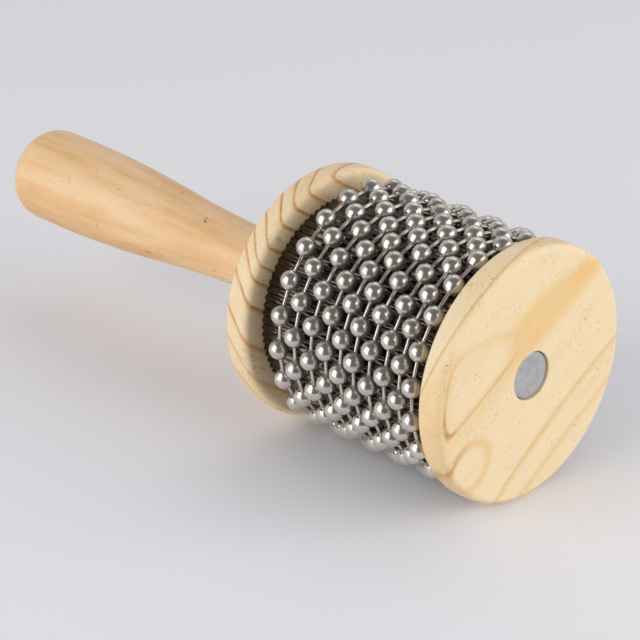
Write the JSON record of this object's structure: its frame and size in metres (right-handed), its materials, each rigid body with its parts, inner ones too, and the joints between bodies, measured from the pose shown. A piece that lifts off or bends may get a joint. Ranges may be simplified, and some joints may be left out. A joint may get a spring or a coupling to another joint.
{
  "type": "wooden hand shaker",
  "caption": "Cabasa: wooden hand shaker with loops of steel ball chain round a ribbed drum between two discs, on a turned handle.",
  "frame": {"origin": "centre of the front disc's outer face, on which the part stands", "axes": "+Z along the drum's axis, from the front disc up through the drum to the handle's end; X and Y are across it"},
  "size_m": [0.075, 0.075, 0.2056],
  "materials": {
    "pine": "bare sanded pine, satin",
    "core_wood": "plain unfinished wood",
    "handle_wood": "thinly varnished hardwood, satin",
    "sleeve_steel": "bright crimped sheet",
    "bead_steel": "polished, with small dents",
    "zinc_steel": "dull zinc plating",
    "insert_steel": "plain plated steel"
  },
  "bodies": {
    "shaker_frame": {"front_disc": "pine", "rear_disc": "pine", "drum_core": "core_wood", "ribbed_sleeve": "sleeve_steel", "centre_bolt": "zinc_steel", "handle_insert": "insert_steel", "handle": "handle_wood"},
    "bead_chains": {"bead_loop_01": "bead_steel", "bead_loop_02": "bead_steel", "bead_loop_03": "bead_steel", "bead_loop_04": "bead_steel", "bead_loop_05": "bead_steel", "bead_loop_06": "bead_steel", "bead_loop_07": "bead_steel", "bead_loop_08": "bead_steel", "bead_loop_09": "bead_steel", "bead_loop_10": "bead_steel"}
  },
  "joints": [
    {"name": "bead_spin", "type": "hinge", "parent": "shaker_frame", "child": "bead_chains", "pos_m": [0, 0, 0.0409], "axis": [0, 0, 1], "continuous": true}
  ]
}
